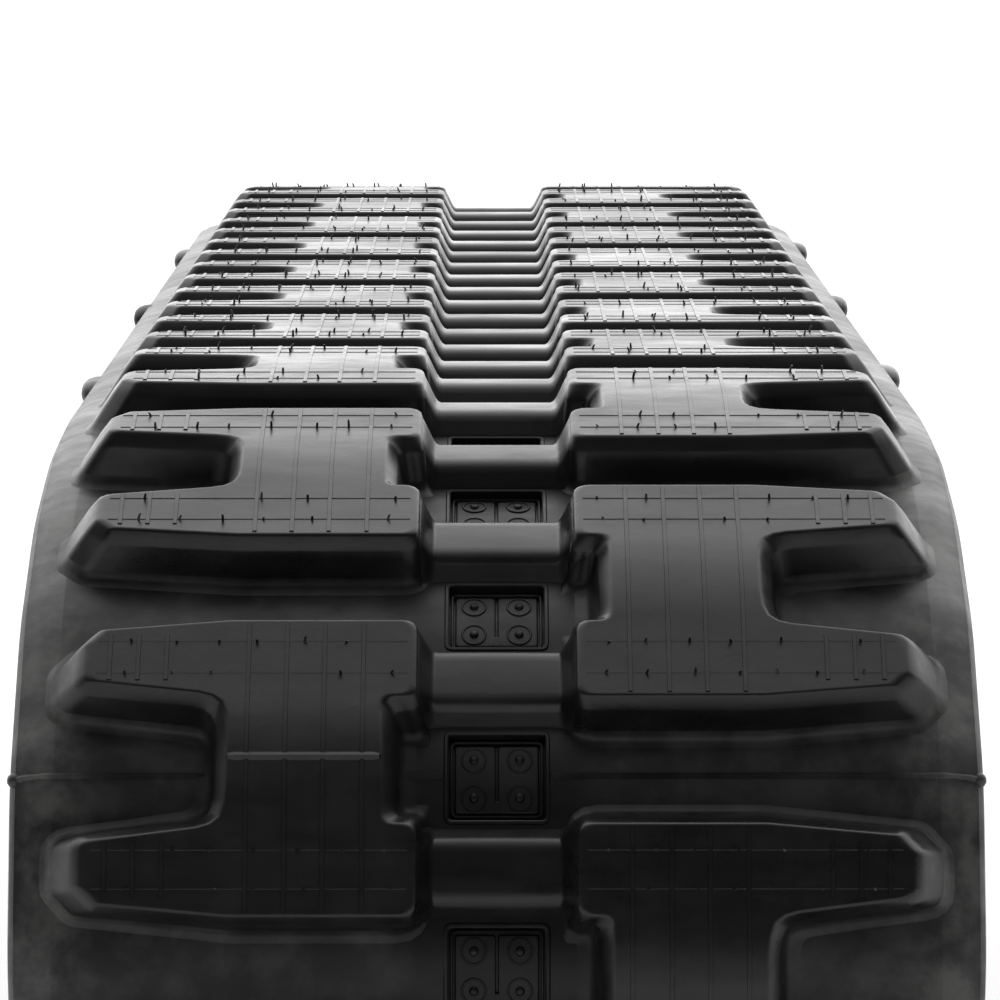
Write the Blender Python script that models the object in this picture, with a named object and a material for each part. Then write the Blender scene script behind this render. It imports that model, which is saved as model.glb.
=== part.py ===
"""Endless rubber track for a compact tracked machine, lying in the oval that it is moulded to.

The running length is divided into links of one pitch. A link is drawn flat, in unrolled
coordinates: x across the track, s along it, and h outward from the line of the steel cords.
The rubber and the cords are drawn flat a stretch at a time and then wrapped onto the oval.
The belt bends only in the flex zone between two iron cores, so every core stays straight.
"""

import math

import bmesh
import bpy

# Running length and oval, in metres and degrees
PITCH = 0.086
LINKS = 48
RUN_LINKS = 14
BEND_TURNS = (4, 8, 14, 20, 28, 32, 28, 20, 14, 8, 4)
FLEX = 0.036

# Rubber carcass, heights measured from the cord line
LUG_TOP = 0.038
GROOVE = 0.010
LUG_ROOT = 0.008
ROLLER_PATH = -0.018
BELT_HALF = 0.225
BELT_OUTLINE = (
    (0.206, GROOVE), (0.218, 0.007), (BELT_HALF, 0.000), (BELT_HALF, -0.005),
    (0.218, -0.011), (0.190, -0.014), (0.176, ROLLER_PATH),
)

# Tread blocks: two bars on neighbouring links and the web that joins them
BAR_INNER, BAR_OUTER = 0.037, 0.190
BAR_INSIDE = (0.0220, 0.0640)
BAR_OUTSIDE = (0.0305, 0.0575)
WEB_INNER, WEB_OUTER = 0.0535, 0.1225
FLANK = 0.0040
END_SLOPE = 0.0150

# Centre bars, and the closed windows between them
CENTRE_TOP = 0.022
CENTRE_HALF_X, CENTRE_HALF_S = 0.028, 0.015
CENTRE_FLANK = 0.004
PANEL_HALF_X, PANEL_HALF_S, PANEL_FLOOR = 0.0232, 0.0193, 0.004
WINDOW_HALF_X, WINDOW_HALF_S, WINDOW_ROOF = 0.025, 0.024, -0.002

# Iron core: one in each link
WING_TIP, WING_ROOT = 0.170, 0.054
WING_HALF = 0.017
CORE_TOP, WING_BOTTOM, BRIDGE_BOTTOM = -0.0035, -0.0120, -0.0220
POCKET_STEP = -0.0080
BRIDGE_HALF_S = 0.013
HORN_INNER, HORN_OUTER = 0.034, 0.050
HORN_TIP, HORN_DRAFT_X, HORN_DRAFT_S = -0.060, 0.004, 0.008
HORN_SPANS = (2, 4)

# Steel cord ply: a band each side of the windows, tied together across a few links
PLY_INNER, PLY_OUTER, PLY_HALF = 0.058, 0.165, 0.0015
TIE_HALF_S = 0.010

# Gaps, and how far a flat solid overruns what it is cut with
FIT = 0.0003
OVERRUN = 0.030
SLAB_OVERRUN = 2 * PITCH
OPEN_ABOVE = GROOVE + 0.004
OPEN_BELOW = ROLLER_PATH - 0.010
EVERYWHERE = 1.0
FLAT_ANGLE = math.radians(0.02)
HINGE_GAP = 0.00015
OPEN_PIVOT_GAP = 0.0005
RUN_FLEX, NOSE_FLEX = 5.0, 10.0

# Tolerances: a turn that counts as straight, a station too near an end, a point on a plane
STRAIGHT = 1e-9
STATION_MARGIN = 0.001
ON_END = 1e-5
ON_CUT = 1e-6

# Stretches between the hinge lines: name, first boundary, last boundary
STRETCHES = (
    ("bottom_run", -1, 15),
    ("front_lower", 15, 19),
    ("front_upper", 19, 23),
    ("top_run", 23, 39),
    ("rear_upper", 39, 43),
    ("rear_lower", 43, 47),
)
NOSES = (19, 43)
OPEN_PIVOT = 47

RUBBER = ("rubber_black", (0.020, 0.020, 0.021), 0.45, 0.0)
IRON = ("cast_iron_core", (0.090, 0.085, 0.080), 0.60, 0.9)
CORD = ("steel_cord_ply", (0.200, 0.170, 0.110), 0.50, 0.7)


def clear_scene():
    for obj in list(bpy.data.objects):
        bpy.data.objects.remove(obj, do_unlink=True)


def make_material(name, colour, roughness, metallic):
    material = bpy.data.materials.new(name)
    material.use_nodes = True
    shader = material.node_tree.nodes["Principled BSDF"]
    shader.inputs["Base Color"].default_value = (*colour, 1.0)
    shader.inputs["Roughness"].default_value = roughness
    shader.inputs["Metallic"].default_value = metallic
    material.diffuse_color = (*colour, 1.0)
    return material


# --- The oval ----------------------------------------------------------------------

def boundary_turns():
    """Turn in radians at each boundary between two links, boundary 0 being where the rear bend ends."""
    turns = [0.0] * LINKS
    front_start = RUN_LINKS
    rear_start = 2 * RUN_LINKS + len(BEND_TURNS) - 1
    for start in (front_start, rear_start):
        for step, degrees in enumerate(BEND_TURNS):
            turns[(start + step) % LINKS] = math.radians(degrees)
    return turns


TURNS = boundary_turns()


def advance(y, z, heading, length, turn):
    """Move along a straight line or a clockwise arc of the given length."""
    if turn < STRAIGHT:
        return y + length * math.cos(heading), z + length * math.sin(heading), heading
    radius = length / turn
    end = heading - turn
    y_end = y + radius * (math.sin(heading) - math.sin(end))
    z_end = z + radius * (math.cos(end) - math.cos(heading))
    return y_end, z_end, end


def stiff_zone_starts():
    """Where each link's straight zone begins. The bottom run lies along -Y on its lug tops."""
    state = (0.5 * RUN_LINKS * PITCH - 0.5 * FLEX, LUG_TOP, math.pi)
    starts = []
    for link in range(LINKS):
        starts.append(state)
        state = advance(*state, PITCH - FLEX, 0.0)
        state = advance(*state, FLEX, TURNS[(link + 1) % LINKS])
    return starts


STARTS = stiff_zone_starts()


def frame_at(s):
    """Position and heading of the cord line at the running length s."""
    along = (s - 0.5 * FLEX) % (LINKS * PITCH)
    link = min(int(along / PITCH), LINKS - 1)
    rest = along - link * PITCH
    stiff = PITCH - FLEX
    if rest <= stiff:
        return advance(*STARTS[link], rest, 0.0)
    bend = advance(*STARTS[link], stiff, 0.0)
    share = (rest - stiff) / FLEX
    return advance(*bend, rest - stiff, TURNS[(link + 1) % LINKS] * share)


def wrap_point(x, s, h):
    y, z, heading = frame_at(s)
    return x, y - h * math.sin(heading), z + h * math.cos(heading)


def bend_stations(first, last):
    """Running lengths at which a stretch is cut so that it can bend."""
    stations = set()
    for boundary in range(first, last + 1):
        if TURNS[boundary % LINKS] > 0.0:
            middle = boundary * PITCH
            stations.update((middle - 0.5 * FLEX, middle, middle + 0.5 * FLEX))
    low, high = first * PITCH, last * PITCH
    return sorted(s for s in stations if low + STATION_MARGIN < s < high - STATION_MARGIN)


def end_setback(boundary, h):
    """How far a stretch's end face stands back at height h, so that its hinge can close."""
    limit = NOSE_FLEX if boundary % LINKS in NOSES else RUN_FLEX
    gap = OPEN_PIVOT_GAP if boundary % LINKS == OPEN_PIVOT else HINGE_GAP
    curvature = TURNS[boundary % LINKS] / FLEX
    return (gap + abs(h) * math.tan(math.radians(0.5 * limit))) / (1.0 + h * curvature)


# --- Flat solids -------------------------------------------------------------------

def add_loft(bm, lower, upper):
    """A closed solid between two rings of points, both counter-clockwise seen from +h."""
    low = [bm.verts.new(point) for point in lower]
    high = [bm.verts.new(point) for point in upper]
    count = len(low)
    bm.faces.new(list(reversed(low)))
    bm.faces.new(high)
    for i in range(count):
        j = (i + 1) % count
        bm.faces.new((low[i], low[j], high[j], high[i]))


def rectangle(x0, x1, s0, s1, h):
    return [(x0, s0, h), (x1, s0, h), (x1, s1, h), (x0, s1, h)]


def add_box(bm, x0, x1, s0, s1, h0, h1):
    add_loft(bm, rectangle(x0, x1, s0, s1, h0), rectangle(x0, x1, s0, s1, h1))


def block_ring(side, centre, spread, end_spread, h):
    """Outline of one tread block at height h. spread moves its flanks out, end_spread its outer end.

    Its two bars taper outward from the web, so the grooves open towards the edges of the track."""
    inner, outer = BAR_INNER - spread, BAR_OUTER + end_spread
    web_in, web_out = WEB_INNER - spread, WEB_OUTER + spread
    near_in, far_in = BAR_INSIDE[0] - spread, BAR_INSIDE[1] + spread
    near_out, far_out = BAR_OUTSIDE[0] - spread, BAR_OUTSIDE[1] + spread
    ring = [
        (inner, -far_in), (web_out, -far_in), (outer, -far_out), (outer, -near_out),
        (web_out, -near_in), (web_out, near_in), (outer, near_out), (outer, far_out),
        (web_out, far_in), (inner, far_in), (inner, near_in), (web_in, near_in),
        (web_in, -near_in), (inner, -near_in),
    ]
    ring = [(side * x, centre + s, h) for x, s in ring]
    return ring if side > 0 else list(reversed(ring))


def add_tread_block(bm, boundary):
    """Left blocks sit on even boundaries and right blocks on odd ones, one pitch apart."""
    side = 1 if boundary % 2 else -1
    centre = boundary * PITCH
    lower = block_ring(side, centre, FLANK, END_SLOPE, LUG_ROOT)
    add_loft(bm, lower, block_ring(side, centre, 0.0, 0.0, LUG_TOP))


def add_centre_bar(bm, link):
    s = (link + 0.5) * PITCH
    x, half = CENTRE_HALF_X, CENTRE_HALF_S
    wide, long = x + 0.5 * CENTRE_FLANK, half + CENTRE_FLANK
    lower = rectangle(-wide, wide, s - long, s + long, LUG_ROOT)
    add_loft(bm, lower, rectangle(-x, x, s - half, s + half, CENTRE_TOP))


def add_window(bm, boundary):
    """The recessed panel outside and the sprocket pocket inside, with a web of rubber between."""
    s = boundary * PITCH
    s0, s1 = s - PANEL_HALF_S, s + PANEL_HALF_S
    add_box(bm, -PANEL_HALF_X, PANEL_HALF_X, s0, s1, PANEL_FLOOR, OPEN_ABOVE)
    s0, s1 = s - WINDOW_HALF_S, s + WINDOW_HALF_S
    add_box(bm, -WINDOW_HALF_X, WINDOW_HALF_X, s0, s1, OPEN_BELOW, WINDOW_ROOF)


def wing_section(x, grow):
    """Section of a core's wing across the track: four points, widened by grow on every side."""
    return section(x + math.copysign(grow, x), WING_HALF + grow, WING_BOTTOM - grow, CORE_TOP + grow)


def section(x, half, bottom, top):
    return [(x, -half, bottom), (x, half, bottom), (x, half, top), (x, -half, top)]


def shifted(ring, s):
    return [(x, along + s, h) for x, along, h in ring]


def add_rings(bm, rings, open_spans=()):
    """A closed solid through several four-point sections. open_spans leave out their underside."""
    rows = [[bm.verts.new(point) for point in ring] for ring in rings]
    bm.faces.new(reversed(rows[0]))
    bm.faces.new(rows[-1])
    for span, (a, b) in enumerate(zip(rows, rows[1:])):
        for i in range(4):
            j = (i + 1) % 4
            if i == 0 and span in open_spans:
                continue
            bm.faces.new((a[i], a[j], b[j], b[i]))
    return rows


def add_wing_slot(bm, link):
    s = (link + 0.5) * PITCH
    rings = [wing_section(x, FIT) for x in (-WING_TIP, WING_TIP)]
    add_rings(bm, [shifted(ring, s) for ring in rings])


def add_bridge_opening(bm, link):
    s = (link + 0.5) * PITCH
    x, half = WING_ROOT + 2 * FIT, WING_HALF + 2 * FIT
    add_box(bm, -x, x, s - half, s + half, OPEN_BELOW, POCKET_STEP)


def add_plate(bm, cells, x_lines, s_lines, half):
    """A flat plate made of the grid cells (i, j), closed along every free edge of a cell."""
    grid = {}

    def vert(i, j, h):
        key = (i, j, h)
        if key not in grid:
            grid[key] = bm.verts.new((x_lines[i], s_lines[j], h))
        return grid[key]

    for i, j in sorted(cells):
        ring = ((i, j), (i + 1, j), (i + 1, j + 1), (i, j + 1))
        bm.faces.new([vert(*corner, half) for corner in ring])
        bm.faces.new([vert(*corner, -half) for corner in reversed(ring)])
        for k, step in enumerate(((0, -1), (1, 0), (0, 1), (-1, 0))):
            if (i + step[0], j + step[1]) in cells:
                continue
            a, b = ring[k], ring[(k + 1) % 4]
            bm.faces.new((vert(*a, -half), vert(*b, -half), vert(*b, half), vert(*a, half)))


def add_ply(bm, first, last, grow, overrun, stations):
    """One stretch of cord ply, or with grow and overrun the tunnel that it runs in."""
    inner, outer = PLY_INNER - grow, PLY_OUTER + grow
    ties = []
    for link in sorted({first, (first + last) // 2, last - 1}):
        middle = (link + 0.5) * PITCH
        ties.append((middle - TIE_HALF_S - grow, middle + TIE_HALF_S + grow))
    lines = {first * PITCH - overrun, last * PITCH + overrun, *stations}
    for tie in ties:
        lines.update(tie)
    s_lines = sorted(lines)
    cells = set()
    for j, (s0, s1) in enumerate(zip(s_lines, s_lines[1:])):
        cells.update(((0, j), (2, j)))
        middle = 0.5 * (s0 + s1)
        if any(low < middle < high for low, high in ties):
            cells.add((1, j))
    add_plate(bm, cells, (-outer, -inner, inner, outer), s_lines, PLY_HALF + grow)


def add_slab(bm, s0, s1):
    """The belt's own section, drawn from s0 to s1."""
    right = list(BELT_OUTLINE)
    ring = [(-x, h) for x, h in right] + [(x, h) for x, h in reversed(right)]
    start = [bm.verts.new((x, s0, h)) for x, h in ring]
    end = [bm.verts.new((x, s1, h)) for x, h in ring]
    bm.faces.new(start)
    bm.faces.new(list(reversed(end)))
    count = len(ring)
    for i in range(count):
        j = (i + 1) % count
        bm.faces.new((start[j], start[i], end[i], end[j]))


# --- Objects -----------------------------------------------------------------------

def mesh_from(name, bm):
    mesh = bpy.data.meshes.new(name)
    bm.to_mesh(mesh)
    bm.free()
    return mesh


def helper(name, build):
    """A hidden object that holds a cutter or an addition, built by a function of its bmesh."""
    bm = bmesh.new()
    build(bm)
    obj = bpy.data.objects.new(name, mesh_from(name, bm))
    obj.hide_render = True
    obj.display_type = "WIRE"
    bpy.context.scene.collection.objects.link(obj)
    return obj


def apply_booleans(base, steps):
    """The base's mesh after each (operation, object) in turn. Every helper is removed again."""
    for operation, other in steps:
        modifier = base.modifiers.new(other.name, "BOOLEAN")
        modifier.operation = operation
        modifier.object = other
    bpy.context.view_layer.update()
    evaluated = base.evaluated_get(bpy.context.evaluated_depsgraph_get())
    bm = bmesh.new()
    bm.from_mesh(evaluated.to_mesh())
    evaluated.to_mesh_clear()
    for obj in [base] + [other for _, other in steps]:
        bpy.data.objects.remove(obj, do_unlink=True)
    return bm


def flat_rubber(first, last):
    """One stretch of rubber carcass in unrolled coordinates, with its tread, pockets and tunnel."""
    s0, s1 = first * PITCH, last * PITCH
    links = range(first - 1, last + 1)
    boundaries = range(first - 1, last + 2)

    def tread(bm):
        for boundary in boundaries:
            add_tread_block(bm, boundary)
        for link in links:
            add_centre_bar(bm, link)

    def hollows(bm):
        for boundary in boundaries:
            add_window(bm, boundary)
        for link in links:
            add_wing_slot(bm, link)
        add_ply(bm, first, last, FIT, OVERRUN, ())

    def openings(bm):
        for link in links:
            add_bridge_opening(bm, link)

    def stretch(bm):
        add_box(bm, -EVERYWHERE, EVERYWHERE, s0, s1, -EVERYWHERE, EVERYWHERE)

    slab = helper("slab", lambda bm: add_slab(bm, s0 - SLAB_OVERRUN, s1 + SLAB_OVERRUN))
    steps = (
        ("UNION", helper("tread", tread)),
        ("DIFFERENCE", helper("hollows", hollows)),
        ("DIFFERENCE", helper("openings", openings)),
        ("INTERSECT", helper("stretch", stretch)),
    )
    bm = apply_booleans(slab, steps)
    bmesh.ops.dissolve_limit(bm, angle_limit=FLAT_ANGLE, verts=bm.verts[:], edges=bm.edges[:])
    return bm


def bend_and_wrap(bm, first, last):
    """Cut a flat stretch where it bends, set its end faces back, and wrap it onto the oval."""
    bmesh.ops.triangulate(bm, faces=bm.faces[:])
    for s in bend_stations(first, last):
        everything = bm.verts[:] + bm.edges[:] + bm.faces[:]
        bmesh.ops.bisect_plane(bm, geom=everything, dist=ON_CUT, plane_co=(0, s, 0), plane_no=(0, 1, 0))
    bmesh.ops.triangulate(bm, faces=bm.faces[:])
    for vert in bm.verts:
        x, s, h = vert.co
        if abs(s - first * PITCH) < ON_END:
            s += end_setback(first, h)
        elif abs(s - last * PITCH) < ON_END:
            s -= end_setback(last, h)
        vert.co = wrap_point(x, s, h)


def add_node(name, mesh, parent, material, location, heading=0.0):
    obj = bpy.data.objects.new(name, mesh)
    if not mesh.materials:
        mesh.materials.append(material)
    bpy.context.scene.collection.objects.link(obj)
    obj.parent = parent
    obj.location = [here - there for here, there in zip(location, parent.location)]
    obj.rotation_euler = (heading, 0.0, 0.0)
    return obj


def hinge_empty(name, first):
    """Stands on the stretch's hinge line. The bottom run is the root and keeps the origin."""
    empty = bpy.data.objects.new(name + "_hinge", None)
    if name != STRETCHES[0][0]:
        empty.location = wrap_point(0.0, first * PITCH, 0.0)
    bpy.context.scene.collection.objects.link(empty)
    return empty


def make_rubber(name, first, last, parent, material):
    bm = flat_rubber(first, last)
    bend_and_wrap(bm, first, last)
    bmesh.ops.translate(bm, verts=bm.verts[:], vec=-parent.location)
    add_node("rubber_" + name, mesh_from(name, bm), parent, material, parent.location)


def make_ply(name, first, last, parent, material):
    bm = bmesh.new()
    add_ply(bm, first, last, 0.0, 0.0, bend_stations(first, last))
    bend_and_wrap(bm, first, last)
    bmesh.ops.translate(bm, verts=bm.verts[:], vec=-parent.location)
    add_node("cord_ply_" + name, mesh_from(name, bm), parent, material, parent.location)


def core_mesh():
    """One iron core about the middle of its link: two wings, the bridge and two guide horns."""
    rings = []
    for side in (-1, 1):
        half_core = [
            wing_section(side * WING_TIP, 0.0),
            wing_section(side * WING_ROOT, 0.0),
            section(side * HORN_OUTER, WING_HALF, BRIDGE_BOTTOM, CORE_TOP),
            section(side * HORN_INNER, BRIDGE_HALF_S, BRIDGE_BOTTOM, CORE_TOP),
        ]
        rings += half_core if side < 0 else half_core[::-1]
    bm = bmesh.new()
    rows = add_rings(bm, rings, open_spans=HORN_SPANS)
    for span in HORN_SPANS:
        add_horn(bm, rows[span], rows[span + 1])
    bmesh.ops.triangulate(bm, faces=bm.faces[:])
    return mesh_from("iron_core", bm)


def add_horn(bm, row_a, row_b):
    """A guide horn on the underside between two sections, drawn in towards its tip."""
    root = [row_a[0], row_a[1], row_b[1], row_b[0]]
    middle = 0.5 * (row_a[0].co.x + row_b[0].co.x)
    half_x = 0.5 * (HORN_OUTER - HORN_INNER) - HORN_DRAFT_X
    tip = []
    for vert in root:
        x = middle + math.copysign(half_x, vert.co.x - middle)
        s = math.copysign(WING_HALF - HORN_DRAFT_S, vert.co.y)
        tip.append(bm.verts.new((x, s, HORN_TIP)))
    for i in range(4):
        j = (i + 1) % 4
        bm.faces.new((root[i], root[j], tip[j], tip[i]))
    bm.faces.new(tip)


def make_cores(first, last, parent, mesh, material):
    for link in range(first, last):
        s = (link + 0.5) * PITCH
        heading = frame_at(s)[2]
        name = f"iron_core_{link % LINKS + 1:02d}"
        add_node(name, mesh, parent, material, wrap_point(0.0, s, 0.0), heading)


def main():
    clear_scene()
    rubber = make_material(*RUBBER)
    iron = make_material(*IRON)
    cord = make_material(*CORD)
    core = core_mesh()
    for name, first, last in STRETCHES:
        parent = hinge_empty(name, first)
        make_rubber(name, first, last, parent, rubber)
        make_ply(name, first, last, parent, cord)
        make_cores(first, last, parent, core, iron)


main()
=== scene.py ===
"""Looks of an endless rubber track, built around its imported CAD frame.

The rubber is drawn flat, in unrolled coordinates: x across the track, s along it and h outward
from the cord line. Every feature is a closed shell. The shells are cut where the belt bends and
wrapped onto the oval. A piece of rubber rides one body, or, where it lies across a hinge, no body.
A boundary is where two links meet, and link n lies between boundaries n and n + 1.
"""

import math
import random

import bmesh
import bpy
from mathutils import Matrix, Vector


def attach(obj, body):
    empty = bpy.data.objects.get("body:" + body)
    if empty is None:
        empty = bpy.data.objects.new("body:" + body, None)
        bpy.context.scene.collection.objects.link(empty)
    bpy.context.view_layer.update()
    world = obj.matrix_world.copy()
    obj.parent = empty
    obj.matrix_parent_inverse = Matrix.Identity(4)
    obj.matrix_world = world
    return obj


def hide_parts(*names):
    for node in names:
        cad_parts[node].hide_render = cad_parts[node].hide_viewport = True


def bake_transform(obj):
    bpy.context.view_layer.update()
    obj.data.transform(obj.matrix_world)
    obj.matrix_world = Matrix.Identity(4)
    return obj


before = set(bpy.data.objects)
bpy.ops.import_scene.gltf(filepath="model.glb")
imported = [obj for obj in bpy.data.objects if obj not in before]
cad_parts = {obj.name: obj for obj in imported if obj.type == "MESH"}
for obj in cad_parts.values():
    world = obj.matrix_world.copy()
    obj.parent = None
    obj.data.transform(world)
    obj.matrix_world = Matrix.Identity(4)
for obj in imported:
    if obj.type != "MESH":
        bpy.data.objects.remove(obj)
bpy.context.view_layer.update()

# Running length and oval of the CAD frame, in metres and degrees
PITCH = 0.086
LINKS = 48
RUN_LINKS = 14
BEND_TURNS = (4, 8, 14, 20, 28, 32, 28, 20, 14, 8, 4)
FLEX = 0.036
BEND_STEP = math.radians(4.0)

# Belt, heights measured from the cord line
LUG_TOP = 0.038
GROOVE = 0.010
ROLLER_PATH = -0.018
SINK = 0.0015

# Tread blocks: two bars on neighbouring links and the web that joins them
BAR_INNER, BAR_OUTER = 0.037, 0.190
BAR_INSIDE = (0.0220, 0.0640)
BAR_OUTSIDE = (0.0305, 0.0575)
WEB_INNER, WEB_OUTER = 0.0535, 0.1225
CORNER_CUT = 0.007

# Centre bars, windows and pockets
CENTRE_TOP = 0.022
CENTRE_HALF_X, CENTRE_HALF_S = 0.028, 0.015
OPEN_ABOVE, OPEN_BELOW = GROOVE + 0.004, ROLLER_PATH - 0.010
PANEL_HALF_X, PANEL_HALF_S, PANEL_FLOOR = 0.0232, 0.0193, 0.004
WINDOW_HALF_X, WINDOW_HALF_S, WINDOW_ROOF = 0.025, 0.024, -0.002
BRIDGE_HALF_X, BRIDGE_HALF_S, POCKET_STEP = 0.0546, 0.0176, -0.0080

# Where the rubber pieces meet, measured from a boundary: clear of windows and cores
CUT = 0.0247

# The boundary where the ring of bodies is open, and how its two ends stand back from each other
OPEN_PIVOT = 47
PIVOT_GAP = 0.0005
PIVOT_LEAN = math.radians(2.5)
PIVOT_SPARE = 0.004

# Skin of the rubber: satin on the tread. Below the foot of the blocks the grooves are painted: black in
# the centre channel as painted shade, lighter between the blocks as painted light. The belt's edges and
# inside are lighter as painted light
TREAD_FINISH, GROOVE_PAINTED_SHADE_AND_LIGHT, BELT_PAINTED_LIGHT = 0, 1, 2
FOOT = GROOVE + 0.0075
EDGE_TOP, EDGE_INNER = 0.0, 0.204

# Tolerances: a turn that counts as straight, a bend station too near an end, a point on a cut
STRAIGHT = 1e-9
STATION_MARGIN = 1e-5
ON_CUT = 1e-7

# Rounded corners: steps along each, the share of an edge one may use, and the least radius
ARC_STEPS = 4
CORNER_ROOM = 0.45
LEAST_RADIUS = 0.001
SMOOTH_ANGLE = math.radians(38)


# --- The oval ----------------------------------------------------------------------

def boundary_turns():
    """Turn at each boundary between two links, boundary 0 being where the rear bend ends."""
    turns = [0.0] * LINKS
    for start in (RUN_LINKS, 2 * RUN_LINKS + len(BEND_TURNS) - 1):
        for step, degrees in enumerate(BEND_TURNS):
            turns[(start + step) % LINKS] = math.radians(degrees)
    return turns


TURNS = boundary_turns()


def advance(y, z, heading, length, turn):
    """Move along a straight line or a clockwise arc of the given length."""
    if turn < STRAIGHT:
        return y + length * math.cos(heading), z + length * math.sin(heading), heading
    radius = length / turn
    end = heading - turn
    y_end = y + radius * (math.sin(heading) - math.sin(end))
    z_end = z + radius * (math.cos(end) - math.cos(heading))
    return y_end, z_end, end


def stiff_zone_starts():
    """Where each link's straight zone begins. The bottom run lies along -Y on its lug tops."""
    state = (0.5 * RUN_LINKS * PITCH - 0.5 * FLEX, LUG_TOP, math.pi)
    starts = []
    for link in range(LINKS):
        starts.append(state)
        state = advance(*state, PITCH - FLEX, 0.0)
        state = advance(*state, FLEX, TURNS[(link + 1) % LINKS])
    return starts


STARTS = stiff_zone_starts()


def frame_at(s):
    """Position and heading of the cord line at the running length s."""
    along = (s - 0.5 * FLEX) % (LINKS * PITCH)
    link = min(int(along / PITCH), LINKS - 1)
    rest = along - link * PITCH
    stiff = PITCH - FLEX
    if rest <= stiff:
        return advance(*STARTS[link], rest, 0.0)
    bend = advance(*STARTS[link], stiff, 0.0)
    share = (rest - stiff) / FLEX
    return advance(*bend, rest - stiff, TURNS[(link + 1) % LINKS] * share)


def wrap_point(x, s, h):
    """A point of the flat drawing, where it lies on the oval."""
    y, z, heading = frame_at(s)
    return x, y - h * math.sin(heading), z + h * math.cos(heading)


def bend_stations(low, high):
    """Running lengths between low and high at which the rubber is cut so that it can bend."""
    stations = []
    for boundary in range(math.floor(low / PITCH), math.ceil(high / PITCH) + 1):
        turn = TURNS[boundary % LINKS]
        if turn == 0.0:
            continue
        count = math.ceil(turn / BEND_STEP)
        for k in range(count + 1):
            s = boundary * PITCH + FLEX * (k / count - 0.5)
            if low + STATION_MARGIN < s < high - STATION_MARGIN:
                stations.append(s)
    return stations


# --- Shells ------------------------------------------------------------------------

class Rubber:
    """One piece of rubber: closed shells drawn flat, wrapped as they are added."""

    def __init__(self, first_s, last_s, open_ends):
        self.first_s, self.last_s, self.open_ends = first_s, last_s, open_ends
        self.verts, self.faces, self.skins_and_painted_light = [], [], []

    def add(self, bm):
        """Cut a flat shell where the belt bends, wrap it, and keep it."""
        split_large_faces(bm)
        low = min(v.co.y for v in bm.verts)
        high = max(v.co.y for v in bm.verts)
        for s in bend_stations(low, high):
            everything = bm.verts[:] + bm.edges[:] + bm.faces[:]
            bmesh.ops.bisect_plane(
                bm, geom=everything, dist=ON_CUT, plane_co=(0, s, 0), plane_no=(0, 1, 0)
            )
        base = len(self.verts)
        bm.verts.index_update()
        self.verts += [wrap_point(*v.co) for v in bm.verts]
        self.faces += [[base + v.index for v in f.verts] for f in bm.faces]
        self.skins_and_painted_light += [skin_or_painted_light_at(f.calc_center_median()) for f in bm.faces]
        bm.free()

    def add_trimmed(self, bm):
        """As add, but the shell ends where the piece ends at the open pivot."""
        for s, outward in self.open_ends:
            trim(bm, s, outward)
        if bm.verts:
            self.add(bm)


def skin_or_painted_light_at(point):
    """Which skin or painted shade and light a face has, from its middle in the flat drawing."""
    if point.z > FOOT:
        return TREAD_FINISH
    return BELT_PAINTED_LIGHT if point.z < EDGE_TOP or abs(point.x) > EDGE_INNER else GROOVE_PAINTED_SHADE_AND_LIGHT


def split_large_faces(bm):
    """Triangulate the faces of more than four corners, which a cut could leave badly shaped."""
    bm.normal_update()
    bmesh.ops.triangulate(bm, faces=[f for f in bm.faces if len(f.verts) > 4])


def trim(bm, s, outward):
    """Cut a closed shell off at the open pivot, and close it again.

    The end leans back above and below the pivot's axis, at h = 0, so that the joint can close."""
    for lean in (-PIVOT_LEAN, PIVOT_LEAN):
        split_large_faces(bm)
        everything = bm.verts[:] + bm.edges[:] + bm.faces[:]
        normal = (0, outward * math.cos(lean), math.sin(lean))
        made = bmesh.ops.bisect_plane(
            bm, geom=everything, dist=ON_CUT, plane_co=(0, s, 0), plane_no=normal, clear_outer=True
        )
        edges = [e for e in made["geom_cut"] if isinstance(e, bmesh.types.BMEdge)]
        if edges:
            bmesh.ops.triangle_fill(bm, edges=edges, use_beauty=True)
            bmesh.ops.recalc_face_normals(bm, faces=bm.faces[:])


def loft(rings):
    """A closed solid through rings of the same number of points, each ring closed."""
    bm = bmesh.new()
    rows = [[bm.verts.new(point) for point in ring] for ring in rings]
    bm.faces.new(list(reversed(rows[0])))
    bm.faces.new(rows[-1])
    count = len(rows[0])
    for a, b in zip(rows, rows[1:]):
        for i in range(count):
            j = (i + 1) % count
            bm.faces.new((a[i], a[j], b[j], b[i]))
    return bm


def rounded_outline(corners, spreads, radii):
    """Points of a counter-clockwise outline whose edge i has moved out by spreads[i].

    Corner i stands between edges i - 1 and i, and is rounded to radii[i]."""
    count = len(corners)
    lines = []
    for i, (p, spread) in enumerate(zip(corners, spreads)):
        p, q = Vector(p), Vector(corners[(i + 1) % count])
        along = (q - p).normalized()
        lines.append((p + spread * Vector((along.y, -along.x)), along))
    tips = [meeting_point(lines[i - 1], lines[i]) for i in range(count)]
    points = []
    for i in range(count):
        before, after = lines[i - 1][1], lines[i][1]
        turn = abs(before.angle(after))
        room = min((tips[i] - tips[i - 1]).length, (tips[(i + 1) % count] - tips[i]).length)
        reach = min(radii[i] * math.tan(0.5 * turn), CORNER_ROOM * room)
        start, end = tips[i] - before * reach, tips[i] + after * reach
        for k in range(ARC_STEPS + 1):
            u = k / ARC_STEPS
            points.append((1 - u) ** 2 * start + 2 * u * (1 - u) * tips[i] + u * u * end)
    return points


def meeting_point(line_a, line_b):
    """Where two lines meet, each given as a point and a direction."""
    (p, u), (q, v) = line_a, line_b
    across = u.x * v.y - u.y * v.x
    gap = q - p
    return p + u * ((gap.x * v.y - gap.y * v.x) / across)


# --- Tread -------------------------------------------------------------------------

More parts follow.
